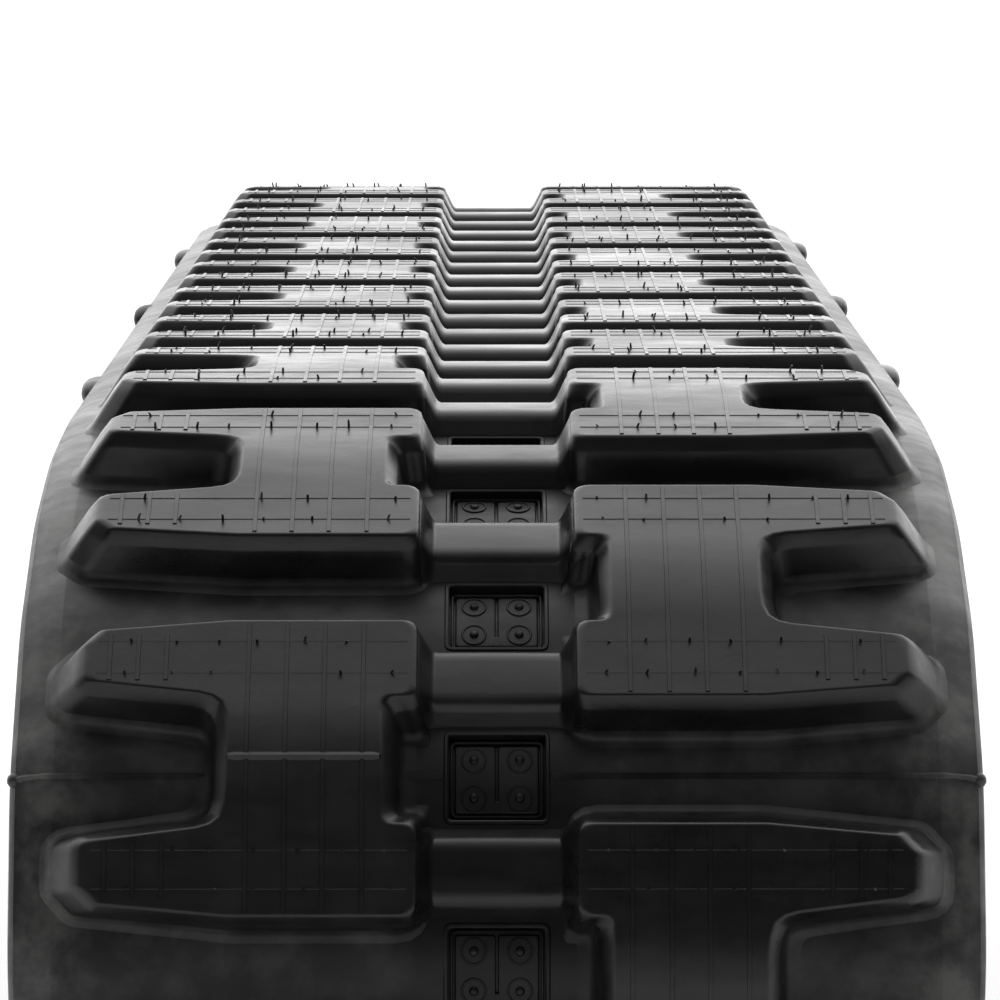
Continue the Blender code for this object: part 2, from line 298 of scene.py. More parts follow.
# Depth below the plateau and how far each kind of edge has spread there, from the floor up
BLOCK_PROFILE = (
    (0.0280 + SINK, {"flank": 0.0128, "end": 0.0205, "cut": 0.0180, "inner": 0.0080}),
    (0.0278, {"flank": 0.0094, "end": 0.0190, "cut": 0.0162, "inner": 0.0062}),
    (0.0270, {"flank": 0.0073, "end": 0.0178, "cut": 0.0146, "inner": 0.0050}),
    (0.0252, {"flank": 0.0058, "end": 0.0162, "cut": 0.0130, "inner": 0.0042}),
    (0.0220, {"flank": 0.0050, "end": 0.0142, "cut": 0.0112, "inner": 0.0036}),
    (0.0082, {"flank": 0.0036, "end": 0.0052, "cut": 0.0044, "inner": 0.0022}),
    (0.0068, {"flank": 0.0032, "end": 0.0042, "cut": 0.0037, "inner": 0.0018}),
    (0.0014, {"flank": 0.0007, "end": 0.0000, "cut": 0.0004, "inner": 0.0002}),
    (0.0006, {"flank": 0.0002, "end": -0.0016, "cut": -0.0008, "inner": -0.0008}),
    (0.0001, {"flank": -0.0004, "end": -0.0036, "cut": -0.0020, "inner": -0.0022}),
    (0.0000, {"flank": -0.0009, "end": -0.0052, "cut": -0.0032, "inner": -0.0034}),
    (0.0000, {"flank": -0.0015, "end": -0.0060, "cut": -0.0038, "inner": -0.0040}),
)

# How much further than the flanks the floor of the inner notch has spread
NOTCH_SLOPE = 1.7


def half_block():
    """Corners of half a tread block: point, kind of the edge that leaves it, radius, hollow corner."""
    near_in, far_in = BAR_INSIDE
    near_out, far_out = BAR_OUTSIDE
    return (
        ((WEB_OUTER, near_in), "flank", 0.016, True),
        ((BAR_OUTER, near_out), "end", 0.005, False),
        ((BAR_OUTER, far_out - CORNER_CUT), "cut", 0.004, False),
        ((BAR_OUTER - CORNER_CUT, far_out + 0.001), "flank", 0.004, False),
        ((WEB_OUTER, far_in), "flank", 0.020, False),
        ((BAR_INNER, far_in), "inner", 0.006, False),
        ((BAR_INNER, near_in), "flank", 0.006, False),
        ((WEB_INNER, near_in), "notch", 0.011, True),
    )


def block_corners():
    """The whole block: one half, and the other half mirrored back along it."""
    half = half_block()
    corners = list(half)
    kinds = [kind for _, kind, _, _ in half]
    for i in reversed(range(len(half))):
        (x, s), _, radius, hollow = half[i]
        kind = kinds[i - 1] if i else "notch"
        corners.append(((x, -s), kind, radius, hollow))
    return corners


BLOCK = block_corners()


def block_ring(side, centre, depth, spreads):
    """Outline of one tread block at a depth below its plateau. side is -1 for left, 1 for right."""
    points = [point for point, _, _, _ in BLOCK]
    grow = spreads["flank"]
    notch = grow * (NOTCH_SLOPE if grow > 0 else 1.0)
    moves = [notch if kind == "notch" else spreads[kind] for _, kind, _, _ in BLOCK]
    radii = [max(r - grow if hollow else r + grow, LEAST_RADIUS) for _, _, r, hollow in BLOCK]
    ring = [(side * p.x, centre + p.y, LUG_TOP - depth) for p in rounded_outline(points, moves, radii)]
    return ring if side > 0 else ring[::-1]


def tread_block(boundary):
    """Left blocks sit on even boundaries and right blocks on odd ones, one pitch apart."""
    side = 1 if boundary % 2 else -1
    centre = boundary * PITCH
    return loft([block_ring(side, centre, depth, spreads) for depth, spreads in BLOCK_PROFILE])


# A centre bar is level out to CENTRE_FLAT_X, and has risen and widened by the end, at CENTRE_END_X
CENTRE_FLAT_X, CENTRE_END_X = CENTRE_HALF_X + 0.0001, BAR_INNER + 0.0014
CENTRE_RISE, CENTRE_FLARE, CENTRE_STEPS = 0.0145, 0.004, 7


def smoothstep(t):
    """From 0 to 1 with a level start and end."""
    t = max(0.0, min(1.0, t))
    return t * t * (3 - 2 * t)


def bar_section(x, s, half, top):
    """Section of a centre bar at x, from one foot over the top to the other."""
    floor = GROOVE - SINK
    side = (
        (half + 0.0062, floor), (half + 0.0056, GROOVE + 0.0004), (half + 0.0048, GROOVE + 0.0016),
        (half + 0.0018, top - 0.0048), (half + 0.0004, top - 0.0027), (half - 0.0014, top - 0.0011),
        (half - 0.0040, top - 0.0003), (half - 0.0066, top),
    )
    far = [(x, s + a, h) for a, h in side]
    near = [(x, s - a, h) for a, h in reversed(side)]
    return far + near


def centre_bar(link):
    """The low bar between the two rows of blocks. Its ends sweep up into their inner walls."""
    s = (link + 0.5) * PITCH
    half_side = [(0.0, 0.0)]
    for k in range(CENTRE_STEPS + 1):
        x = CENTRE_FLAT_X + (CENTRE_END_X - CENTRE_FLAT_X) * k / CENTRE_STEPS
        half_side.append((x, k / CENTRE_STEPS))
    stations = [(-x, t) for x, t in reversed(half_side)] + half_side[1:]
    sections = []
    for x, t in stations:
        rise = smoothstep(t)
        half, top = CENTRE_HALF_S + CENTRE_FLARE * rise, CENTRE_TOP + CENTRE_RISE * rise
        sections.append(bar_section(x, s, half, top))
    return loft(sections)


# Moulding lines: half width and height of those along and across, and how deep they are rooted
LONG_HALF, LONG_HEIGHT, LONG_SLOPE = 0.0012, 0.0005, 0.0003
CROSS_HALF, CROSS_HEIGHT = 0.0006, 0.0003
LINE_ROOT = 0.0004


def ridge_along(x, s0, s1, h):
    """A low flat-topped moulding line that runs along the track."""
    top = LONG_HALF - LONG_SLOPE
    profile = (
        (x - LONG_HALF, h - LINE_ROOT), (x - top, h + LONG_HEIGHT),
        (x + top, h + LONG_HEIGHT), (x + LONG_HALF, h - LINE_ROOT),
    )
    return loft([[(px, s, ph) for px, ph in profile] for s in (s0, s1)])


def ridge_across(points, s, half, height):
    """A sharp line across the track, through the (x, h) points of the surface it lies on."""
    rings = []
    for x, h in points:
        rings.append([(x, s + half, h - LINE_ROOT), (x, s, h + height), (x, s - half, h - LINE_ROOT)])
    return loft(rings)


# Places of the lines and hairs, measured from the middle of the track or of a block's bar
LONG_LINES = (0.0613, 0.0792, 0.0966, 0.1141)
BAR_LINES, BAR_LINE_HALF = (0.152, 0.165, 0.178), 0.0125
CROSS_LINE = 0.0088
CROSS_SETBACKS = (0.004, 0.006)
LONG_SETBACK = 0.002
BAR_MIDDLE = 0.5 * (BAR_INSIDE[0] + BAR_INSIDE[1])
HAIR_PLACES = (0.0505, 0.0699, 0.0896, 0.1097, 0.1295, 0.1490, 0.1690)

# Hairs: thickness, and how it tapers with the share of the height; ranges of their random sizes
HAIR_RADIUS, HAIR_SIDES = 0.00065, 6
HAIR_TAPER = ((-0.1, 1.5), (0.05, 1.0), (0.6, 0.9), (1.0, 0.6))
HAIR_SEED, HAIR_CHANCE = 100, 0.72
HAIR_HEIGHTS, HAIR_SHIFT, HAIR_LEAN = (0.0010, 0.0038), 0.0025, 0.0012


def flash_lines(boundary):
    """The flash that the mould's inserts and vents leave on a tread block's plateau."""
    side = 1 if boundary % 2 else -1
    middle = boundary * PITCH
    far = BAR_INSIDE[1] - LONG_SETBACK
    shells = [ridge_along(side * x, middle - far, middle + far, LUG_TOP) for x in LONG_LINES]
    near_x, far_x = BAR_INNER + CROSS_SETBACKS[0], BAR_OUTER - CROSS_SETBACKS[1]
    ends = sorted([(side * near_x, LUG_TOP), (side * far_x, LUG_TOP)])
    for end in (-1, 1):
        s = middle + end * BAR_MIDDLE
        for x in BAR_LINES:
            shells.append(ridge_along(side * x, s - BAR_LINE_HALF, s + BAR_LINE_HALF, LUG_TOP))
        for line in (-CROSS_LINE, CROSS_LINE):
            shells.append(ridge_across(ends, s + line, CROSS_HALF, CROSS_HEIGHT))
    return shells


def hair(x, s, height, lean):
    """A thread of rubber left by a vent hole of the mould."""
    rings = []
    for share, size in HAIR_TAPER:
        ring = []
        for k in range(HAIR_SIDES):
            angle = 2 * math.pi * k / HAIR_SIDES
            px = x + lean[0] * share + size * HAIR_RADIUS * math.cos(angle)
            ps = s + lean[1] * share + size * HAIR_RADIUS * math.sin(angle)
            ring.append((px, ps, LUG_TOP + share * height))
        rings.append(ring)
    return loft(rings)


def vent_hairs(boundary):
    """Hairs on the flash lines of one block. Different on every block, the same on every run."""
    dice = random.Random(HAIR_SEED + boundary)
    side = 1 if boundary % 2 else -1
    shells = []
    for end in (-1, 1):
        for line in (-CROSS_LINE, CROSS_LINE):
            for place in HAIR_PLACES:
                chance, height = dice.random(), dice.uniform(*HAIR_HEIGHTS)
                shift = dice.uniform(-HAIR_SHIFT, HAIR_SHIFT)
                lean = (dice.uniform(-HAIR_LEAN, HAIR_LEAN), dice.uniform(-HAIR_LEAN, HAIR_LEAN))
                if chance < HAIR_CHANCE:
                    s = boundary * PITCH + end * BAR_MIDDLE + line
                    shells.append(hair(side * place + shift, s, height, lean))
    return shells


# --- Windows -----------------------------------------------------------------------

# Window rims: distance of each rim's middle from the panel's edge, width and top
PLATE_TOP = PANEL_FLOOR + 0.0018
OUTER_RIM = (0.0002, 0.0022, GROOVE + 0.0007)
INNER_RIM = (-0.0024, 0.0012, PLATE_TOP + 0.0008)
RIM_ROOT, RIM_SOFT, RIM_RADIUS = 0.001, 0.0005, 0.003

# The panel: half the slit between its two halves, and half of each half
SLIT_HALF, HALF_PANEL_X, HALF_PANEL_S = 0.0006, 0.00935, 0.0153
PANEL_ROOT, PANEL_RADIUS, PANEL_EASE = 0.0008, 0.0015, 0.0002

# A button's (radius, height above the panel), from its root to its tip, and its place
BUTTON_PROFILE = (
    (0.0060, -0.0008), (0.0060, 0.0002), (0.0057, 0.0006), (0.0052, 0.0006), (0.0049, 0.0001),
    (0.0022, 0.0001), (0.0018, 0.0009), (0.0012, 0.0014), (0.0000, 0.0015),
)
BUTTON_X, BUTTON_S, BUTTON_SIDES = 0.0106, 0.0086, 24

# The small key that bridges the slit near one end
KEY_S, KEY_HALF_X, KEY_HALF_S, KEY_DROP, KEY_SOFT = -0.0125, 0.0012, 0.0026, 0.0001, 0.0003


def rounded_box(half_x, half_s, radius):
    """Outline of a rectangle about the origin with rounded corners."""
    corners = ((-half_x, -half_s), (half_x, -half_s), (half_x, half_s), (-half_x, half_s))
    return rounded_outline(corners, (0.0,) * 4, (radius,) * 4)


def pad(x, s, half_x, half_s, bottom, top, radius, edge=0.0005):
    """A low plate with rounded corners and a softened rim."""
    levels = (
        (bottom, edge), (top - edge, 0.0), (top - 0.3 * edge, -0.3 * edge), (top, -edge), (top, -2 * edge),
    )
    rings = []
    for h, grow in levels:
        outline = rounded_box(half_x + grow, half_s + grow, radius)
        rings.append([(x + p.x, s + p.y, h) for p in outline])
    return loft(rings)


def frame_rim(s, out, width, top):
    """A rounded rim around a window: a ring-shaped solid with a soft section."""
    half_x, half_s = PANEL_HALF_X + out, PANEL_HALF_S + out
    bottom = PANEL_FLOOR - RIM_ROOT
    section = (
        (0.5 * width, bottom), (0.5 * width, top - RIM_SOFT), (0.25 * width, top),
        (-0.25 * width, top), (-0.5 * width, top - RIM_SOFT), (-0.5 * width, bottom),
    )
    bm = bmesh.new()
    rows = []
    for grow, h in section:
        outline = rounded_box(half_x + grow, half_s + grow, RIM_RADIUS + grow)
        rows.append([bm.verts.new((p.x, s + p.y, h)) for p in outline])
    count = len(rows[0])
    for a, b in zip(rows, rows[1:] + rows[:1]):
        for i in range(count):
            j = (i + 1) % count
            bm.faces.new((a[i], a[j], b[j], b[i]))
    return bm


def button(x, s):
    """A moulded button turned about the h direction: a ring, a hollow and a raised dot."""
    bm = bmesh.new()
    rows = []
    for radius, up in BUTTON_PROFILE[:-1]:
        ring = []
        for k in range(BUTTON_SIDES):
            angle = 2 * math.pi * k / BUTTON_SIDES
            place = (x + radius * math.cos(angle), s + radius * math.sin(angle), PLATE_TOP + up)
            ring.append(bm.verts.new(place))
        rows.append(ring)
    tip = bm.verts.new((x, s, PLATE_TOP + BUTTON_PROFILE[-1][1]))
    bm.faces.new(list(reversed(rows[0])))
    for a, b in zip(rows, rows[1:]):
        for i in range(BUTTON_SIDES):
            j = (i + 1) % BUTTON_SIDES
            bm.faces.new((a[i], a[j], b[j], b[i]))
    for i in range(BUTTON_SIDES):
        bm.faces.new((rows[-1][i], rows[-1][(i + 1) % BUTTON_SIDES], tip))
    return bm


def window(boundary):
    """The closed window between two centre bars: two rims, a panel in two halves, four buttons."""
    s = boundary * PITCH
    root = PANEL_FLOOR - PANEL_ROOT
    shells = [frame_rim(s, *OUTER_RIM), frame_rim(s, *INNER_RIM)]
    for side in (-1, 1):
        x = side * (SLIT_HALF + HALF_PANEL_X)
        shells.append(pad(x, s, HALF_PANEL_X - PANEL_EASE, HALF_PANEL_S, root, PLATE_TOP, PANEL_RADIUS))
        for end in (-1, 1):
            shells.append(button(side * BUTTON_X, s + end * BUTTON_S))
    top = PLATE_TOP - KEY_DROP
    shells.append(pad(0.0, s + KEY_S, KEY_HALF_X, KEY_HALF_S, root, top, KEY_SOFT, KEY_SOFT))
    return shells


# --- Belt --------------------------------------------------------------------------

def belt_outline():
    """Right half of the belt's section, from the groove floor round the edge to the roller path."""
    return (
        (EDGE_INNER, GROOVE), (0.2062, GROOVE - 0.0001), (0.2110, GROOVE - 0.0008),
        (0.2165, GROOVE - 0.0024), (0.2205, GROOVE - 0.0048), (0.2218, GROOVE - 0.0050),
        (0.2226, GROOVE - 0.0060), (0.2222, GROOVE - 0.0070), (0.2243, 0.0006), (0.2250, -0.0025),
        (0.2247, -0.0060), (0.2232, -0.0088), (0.2218, -0.0094), (0.2212, -0.0104),
        (0.2190, -0.0112), (0.2140, -0.0124), (0.1930, -0.0138), (0.1880, -0.0146),
        (0.1800, -0.0172), (0.1760, ROLLER_PATH),
    )


def add_box(bm, x, s, half_x, half_s, low, high):
    """Add a box about (x, s) from one height to another."""
    x0, x1, s0, s1 = x - half_x, x + half_x, s - half_s, s + half_s
    lower = [bm.verts.new(p) for p in ((x0, s0, low), (x1, s0, low), (x1, s1, low), (x0, s1, low))]
    upper = [bm.verts.new((v.co.x, v.co.y, high)) for v in lower]
    bm.faces.new(lower[::-1])
    bm.faces.new(upper)
    for i in range(4):
        j = (i + 1) % 4
        bm.faces.new((lower[i], lower[j], upper[j], upper[i]))


def helper(name, bm):
    """A mesh object for the length of one boolean."""
    mesh = bpy.data.meshes.new(name)
    bm.to_mesh(mesh)
    bm.free()
    obj = bpy.data.objects.new(name, mesh)
    bpy.context.scene.collection.objects.link(obj)
    return obj


def subtract(base, cutters):
    """The base's mesh with each cutter taken away in turn. The helper objects are removed again."""
    for cutter in cutters:
        modifier = base.modifiers.new(cutter.name, "BOOLEAN")
        modifier.operation = "DIFFERENCE"
        modifier.object = cutter
    bpy.context.view_layer.update()
    evaluated = base.evaluated_get(bpy.context.evaluated_depsgraph_get())
    bm = bmesh.new()
    bm.from_mesh(evaluated.to_mesh())
    evaluated.to_mesh_clear()
    for obj in [base] + cutters:
        bpy.data.objects.remove(obj, do_unlink=True)
    return bm


def belt(first_s, last_s):
    """The belt from first_s to last_s, with its windows, sprocket pockets and bridge openings."""
    right = belt_outline()
    ring = [(-x, h) for x, h in right] + [(x, h) for x, h in reversed(right)]
    slab = helper("slab", loft([[(x, s, h) for x, h in ring] for s in (first_s, last_s)]))
    windows, bridges = bmesh.new(), bmesh.new()
    for boundary in range(math.ceil(first_s / PITCH) - 1, math.floor(last_s / PITCH) + 2):
        s = boundary * PITCH
        add_box(windows, 0.0, s, PANEL_HALF_X, PANEL_HALF_S, PANEL_FLOOR, OPEN_ABOVE)
        add_box(windows, 0.0, s, WINDOW_HALF_X, WINDOW_HALF_S, OPEN_BELOW, WINDOW_ROOF)
        s += 0.5 * PITCH
        add_box(bridges, 0.0, s, BRIDGE_HALF_X, BRIDGE_HALF_S, OPEN_BELOW, POCKET_STEP)
    return subtract(slab, [helper("windows", windows), helper("bridges", bridges)])


# The surface that the mould seam crosses, as (x, h): the belt's rounded edge, and a block's web
SEAM_EDGE = ((0.222, GROOVE - 0.005), (0.216, GROOVE - 0.0022), (0.206, GROOVE))
SEAM_BLOCK = (
    (WEB_OUTER + 0.008, GROOVE), (WEB_OUTER + 0.0045, GROOVE + 0.003),
    (WEB_OUTER + 0.0024, LUG_TOP - 0.006), (WEB_OUTER, LUG_TOP - 0.0006), (WEB_OUTER - 0.003, LUG_TOP),
    (WEB_INNER + 0.003, LUG_TOP), (WEB_INNER, LUG_TOP - 0.0006), (WEB_INNER - 0.0024, LUG_TOP - 0.006),
    (WEB_INNER - 0.0045, GROOVE + 0.003), (WEB_INNER - 0.008, GROOVE),
    (PANEL_HALF_X + 0.002, GROOVE + 0.0006),
)
SEAM_START = (0.0255, GROOVE)
SEAM_HALF, SEAM_HEIGHT = 0.0016, 0.0018
NUB_PLACE, NUB_SIZE = (0.2225, 0.0030), (0.0035, 0.0035, 0.0040)


def seam_surface(boundary):
    """The (x, h) points under the seam, left to right: on the block's side, and on the other."""
    side = 1 if boundary % 2 else -1
    block = [(side * x, h) for x, h in SEAM_EDGE + SEAM_BLOCK]
    plain = [(-side * x, h) for x, h in SEAM_EDGE + (SEAM_START,)]
    return sorted(block), sorted(plain)


def mould_seam(boundary):
    """The parting line where the two halves of the mould met, with a nub at each edge."""
    s = boundary * PITCH
    shells = [ridge_across(points, s, SEAM_HALF, SEAM_HEIGHT) for points in seam_surface(boundary)]
    for side in (-1, 1):
        nub = bmesh.new()
        bmesh.ops.create_icosphere(nub, subdivisions=2, radius=1.0)
        middle = Vector((side * NUB_PLACE[0], s, NUB_PLACE[1]))
        for vert in nub.verts:
            vert.co = middle + Vector([size * part for size, part in zip(NUB_SIZE, vert.co)])
        shells.append(nub)
    return shells


# Side lobes: (x, half length, half height) from root to face, the height of their middle, and
# how square their outline is
LOBE_LEVELS = (
    (0.2150, 0.0220, 0.0085), (0.2245, 0.0205, 0.0078), (0.2285, 0.0185, 0.0066),
    (0.2306, 0.0150, 0.0046), (0.2312, 0.0110, 0.0026),
)
LOBE_MIDDLE, LOBE_POWER, LOBE_SIDES = -0.0025, 0.7, 24

# Where they stand, in links: their spacing, the first of each side, and the ends of the top run
LOBE_SPACING = 4.8
LOBES_PER_SIDE = 10
LOBE_STARTS = {-1: 26.4, 1: 27.1}
TOP_FIRST, TOP_LAST = 25, 38


def side_lobe(side, s):
    """A rounded lug on the belt's edge, which keeps the edge off the machine's frame."""
    rings = []
    for x, half_s, half_h in LOBE_LEVELS:
        ring = []
        for k in range(LOBE_SIDES):
            angle = 2 * math.pi * k / LOBE_SIDES
            across, up = math.cos(angle), math.sin(angle)
            round_s = math.copysign(abs(across) ** LOBE_POWER, across)
            ring.append((side * x, s + half_s * round_s, LOBE_MIDDLE + half_h * up))
        rings.append(ring if side > 0 else ring[::-1])
    return loft(rings)


def side_lobes():
    """Every side lobe as its side and running length. They stand along the two straight runs."""
    lobes = []
    for side, start in LOBE_STARTS.items():
        for k in range(LOBES_PER_SIDE):
            place = (start + LOBE_SPACING * k) % LINKS
            if place < RUN_LINKS or TOP_FIRST < place < TOP_LAST:
                lobes.append((side, place * PITCH))
    return lobes


# --- Materials ---------------------------------------------------------------------

def set_range(node, low, high, to_low, to_high):
    """Fill in a Map Range node."""
    names = ("From Min", "From Max", "To Min", "To Max")
    for name, number in zip(names, (low, high, to_low, to_high)):
        node.inputs[name].default_value = number


class Nodes:
    """A short way to write a material's nodes."""

    def __init__(self, name):
        self.material = bpy.data.materials.new(name)
        self.material.use_nodes = True
        self.tree = self.material.node_tree
        self.shader = self.tree.nodes["Principled BSDF"]
        self.place = self.tree.nodes.new("ShaderNodeTexCoord").outputs["Object"]

    def link(self, source, target):
        """Join an output to an input."""
        self.tree.links.new(source, target)

    def noise(self, scale, detail=4.0, rough=0.55, stretch=None):
        """Noise over the object, from 0 to 1, with its place stretched where stretch is given."""
        node = self.tree.nodes.new("ShaderNodeTexNoise")
        node.inputs["Scale"].default_value = scale
        node.inputs["Detail"].default_value = detail
        node.inputs["Roughness"].default_value = rough
        vector = self.place
        if stretch:
            mapping = self.tree.nodes.new("ShaderNodeMapping")
            mapping.inputs["Scale"].default_value = stretch
            self.link(vector, mapping.inputs["Vector"])
            vector = mapping.outputs["Vector"]
        self.link(vector, node.inputs["Vector"])
        return node.outputs["Fac"]

    def span(self, value, low, high, to_low, to_high):
        """Smoothly map the range from low to high onto another range."""
        node = self.tree.nodes.new("ShaderNodeMapRange")
        node.interpolation_type = "SMOOTHSTEP"
        set_range(node, low, high, to_low, to_high)
        self.link(value, node.inputs["Value"])
        return node.outputs["Result"]

    def math(self, kind, a, b):
        """A Math node on two outputs or numbers."""
        node = self.tree.nodes.new("ShaderNodeMath")
        node.operation = kind
        for socket, value in zip(node.inputs, (a, b)):
            if isinstance(value, (int, float)):
                socket.default_value = value
            else:
                self.link(value, socket)
        return node.outputs["Value"]

    def mix(self, factor, a, b):
        """A mix of two colours, each an output or a tuple."""
        node = self.tree.nodes.new("ShaderNodeMix")
        node.data_type = "RGBA"
        self.link(factor, node.inputs["Factor"])
        for socket, colour in zip((node.inputs["A"], node.inputs["B"]), (a, b)):
            if isinstance(colour, tuple):
                socket.default_value = (*colour, 1.0)
            else:
                self.link(colour, socket)
        return node.outputs["Result"]

    def from_middle(self):
        """Distance from the middle of the track, to either side."""
        parts = self.tree.nodes.new("ShaderNodeSeparateXYZ")
        self.link(self.place, parts.inputs["Vector"])
        return self.math("ABSOLUTE", parts.outputs["X"], 0.0)

    def bump(self, height, distance, strength, normal=None):
        """A bump from a height, on top of an earlier one where normal is given."""
        node = self.tree.nodes.new("ShaderNodeBump")
        node.inputs["Distance"].default_value = distance
        node.inputs["Strength"].default_value = strength
        self.link(height, node.inputs["Height"])
        if normal is not None:
            self.link(normal, node.inputs["Normal"])
        return node.outputs["Normal"]


def rubber_nodes(name, rough, specular):
    """Moulded rubber without its colour: streaked along the belt and finely grained.

    Also gives the mottling left by the mould release, which the colour follows."""
    n = Nodes(name)
    broad = n.noise(9.0, 3.0)
    cloud = n.noise(46.0, 5.0, 0.6)
    streak = n.noise(30.0, 4.0, 0.6, (1.0, 3.5, 3.5))
    grain = n.noise(1400.0, 2.0)
    mottle = n.span(cloud, 0.35, 0.70, 0.0, 1.0)
    patch = n.math("ADD", n.span(broad, 0.35, 0.65, -0.04, 0.05), n.span(streak, 0.35, 0.65, -0.035, 0.045))
    n.link(n.math("ADD", patch, rough), n.shader.inputs["Roughness"])
    n.shader.inputs["Specular IOR Level"].default_value = specular
    waves = n.bump(cloud, 0.0007, 0.35)
    n.link(n.bump(grain, 0.00010, 0.35, waves), n.shader.inputs["Normal"])
    return n, mottle


def rubber_material(name, dark, light, rough, specular):
    """Moulded black rubber of one colour, mottled from dark to light."""
    n, mottle = rubber_nodes(name, rough, specular)
    n.link(n.mix(mottle, dark, light), n.shader.inputs["Base Color"])
    return n.material


def tread_material():
    """The blocks and bars: the satin skin of a polished mould."""
    dark, light = (0.0034, 0.0034, 0.0035), (0.0070, 0.0069, 0.0067)
    return rubber_material("tread_rubber", dark, light, rough=0.33, specular=0.30)


# Rubber lightened as painted light, for the light the grooves and the belt's shoulders catch, from the dark
# to the light of its mottling
PAINTED_LIGHT_DARK, PAINTED_LIGHT_LIGHT = (0.0130, 0.0130, 0.0132), (0.0560, 0.0552, 0.0535)


def groove_painted_shade_and_light_material():
    """The grooves, with painted shade and light: black in the centre channel as painted shade, lighter
    between the blocks as painted light, lighter still at the edges.
    """
    n, mottle = rubber_nodes("groove_rubber_painted_shade_and_light", rough=0.44, specular=0.20)
    out = n.from_middle()
    # Painted shade in the centre channel around the bars; painted light between the blocks and, lighter
    # still, at the edges
    channel = n.mix(mottle, (0.0030, 0.0030, 0.0031), (0.0070, 0.0069, 0.0068))
    between = n.mix(mottle, (0.0085, 0.0085, 0.0087), (0.0260, 0.0257, 0.0250))
    edge = n.mix(mottle, PAINTED_LIGHT_DARK, PAINTED_LIGHT_LIGHT)
    inner = n.mix(n.span(out, 0.034, 0.058, 0.0, 1.0), channel, between)
    n.link(n.mix(n.span(out, 0.180, EDGE_INNER, 0.0, 1.0), inner, edge), n.shader.inputs["Base Color"])
    return n.material


def belt_painted_light_material():
    """The belt's edges and inside: duller than the tread, and lighter as painted light."""
    return rubber_material("belt_rubber_painted_light", PAINTED_LIGHT_DARK, PAINTED_LIGHT_LIGHT, rough=0.42, specular=0.30)


def iron_material():
    """Forged iron core: dark scale with a little rust in its hollows and a rough skin."""
    n = Nodes("forged_iron")
    rust = n.span(n.noise(70.0, 6.0, 0.65), 0.50, 0.72, 0.0, 1.0)
    scale = n.span(n.noise(240.0, 4.0), 0.35, 0.7, 0.0, 1.0)
    dark = n.mix(scale, (0.045, 0.043, 0.042), (0.105, 0.100, 0.095))
    n.link(n.mix(rust, dark, (0.100, 0.048, 0.026)), n.shader.inputs["Base Color"])
    n.shader.inputs["Metallic"].default_value = 0.65
    n.link(n.span(scale, 0.0, 1.0, 0.48, 0.68), n.shader.inputs["Roughness"])
    skin = n.bump(n.noise(420.0, 5.0, 0.6), 0.0005, 0.6)
    n.link(n.bump(n.noise(60.0, 3.0), 0.0014, 0.4, skin), n.shader.inputs["Normal"])
    return n.material


def cord_material():
    """Brass-plated steel cords seen through their rubber skim: fine stripes along the belt."""
    n = Nodes("steel_cord_ply")
    wave = n.tree.nodes.new("ShaderNodeTexWave")
    wave.bands_direction = "X"
    wave.inputs["Scale"].default_value = 60.0
    wave.inputs["Distortion"].default_value = 0.4
    n.link(n.place, wave.inputs["Vector"])
    stripes = wave.outputs["Fac"]
    n.link(n.mix(stripes, (0.030, 0.028, 0.025), (0.240, 0.185, 0.105)), n.shader.inputs["Base Color"])
    n.shader.inputs["Metallic"].default_value = 0.6
    n.link(n.span(n.noise(300.0), 0.3, 0.7, 0.35, 0.55), n.shader.inputs["Roughness"])
    n.link(n.bump(stripes, 0.0006, 0.8), n.shader.inputs["Normal"])
    return n.material


def floor_material():
    """A matt pale floor, lifted a little so that it runs into the white behind it."""
    n = Nodes("pale_floor")
    n.link(n.mix(n.noise(0.8, 2.0), (0.78, 0.78, 0.78), (0.82, 0.82, 0.82)), n.shader.inputs["Base Color"])
    n.shader.inputs["Roughness"].default_value = 0.9
    n.shader.inputs["Specular IOR Level"].default_value = 0.1
    n.shader.inputs["Emission Color"].default_value = (1.0, 1.0, 1.0, 1.0)
    n.shader.inputs["Emission Strength"].default_value = 0.12
    return n.material


# --- Pieces ------------------------------------------------------------------------

# Rubber pieces: name, first and last boundary, bodies, and the boundary of the hinge between two bodies
RUBBER_PIECES = (
    ("rubber_bottom_middle", -1, 7, ("bottom_run",), None),
    ("rubber_front_foot", 7, 17, ("bottom_run", "front_lower"), 15),
    ("rubber_front_nose", 17, 21, ("front_lower", "front_upper"), 19),
    ("rubber_front_shoulder", 21, 31, ("front_upper", "top_run"), 23),
    ("rubber_rear_shoulder", 31, 41, ("top_run", "rear_upper"), 39),
    ("rubber_rear_nose", 41, 45, ("rear_upper", "rear_lower"), 43),
    ("rubber_rear_foot", 45, 47, ("rear_lower",), None),
)
SEAMS = (20, 44)

# Blocks this near the bottom run, in links, have no hairs
GROUND_MARGIN = 3


def piece_ends(first, last):
    """Where a piece of belt starts and ends, and which of its ends stop short at the open pivot."""
    ends, open_ends = [], []
    for boundary, outward in ((first, -1), (last, 1)):
        if boundary % LINKS == OPEN_PIVOT:
            ends.append(boundary * PITCH - outward * PIVOT_GAP)
            open_ends.append((ends[-1], outward))
        else:
            ends.append(boundary * PITCH + CUT)
    return ends[0], ends[1], open_ends


